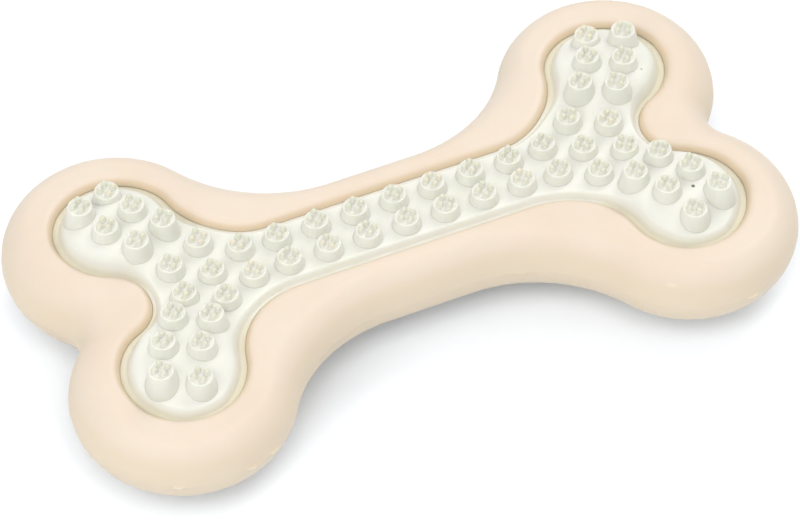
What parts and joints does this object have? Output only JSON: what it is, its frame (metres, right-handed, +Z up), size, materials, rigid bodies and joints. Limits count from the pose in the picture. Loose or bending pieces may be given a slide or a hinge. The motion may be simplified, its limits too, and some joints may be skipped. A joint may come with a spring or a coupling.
{
  "type": "puppy chew bone",
  "caption": "Soft bone-shaped chew toy: a rounded two-lobed body with a nubbed pad set into a pocket in each face, for a puppy to gnaw on.",
  "frame": {"origin": "under the middle of the bone, on the surface that the lower pins stand on", "axes": "+X along the shaft, +Y across the bone in its own plane, +Z up out of the upper pad"},
  "size_m": [0.1396, 0.0762, 0.0274],
  "materials": {
    "body_rubber": "satin peach moulded rubber",
    "pad_rubber": "satin pale mint moulded rubber"
  },
  "bodies": {
    "root": {"bone_body": "body_rubber", "nub_pad_upper": "pad_rubber", "nub_pad_lower": "pad_rubber"}
  },
  "joints": []
}
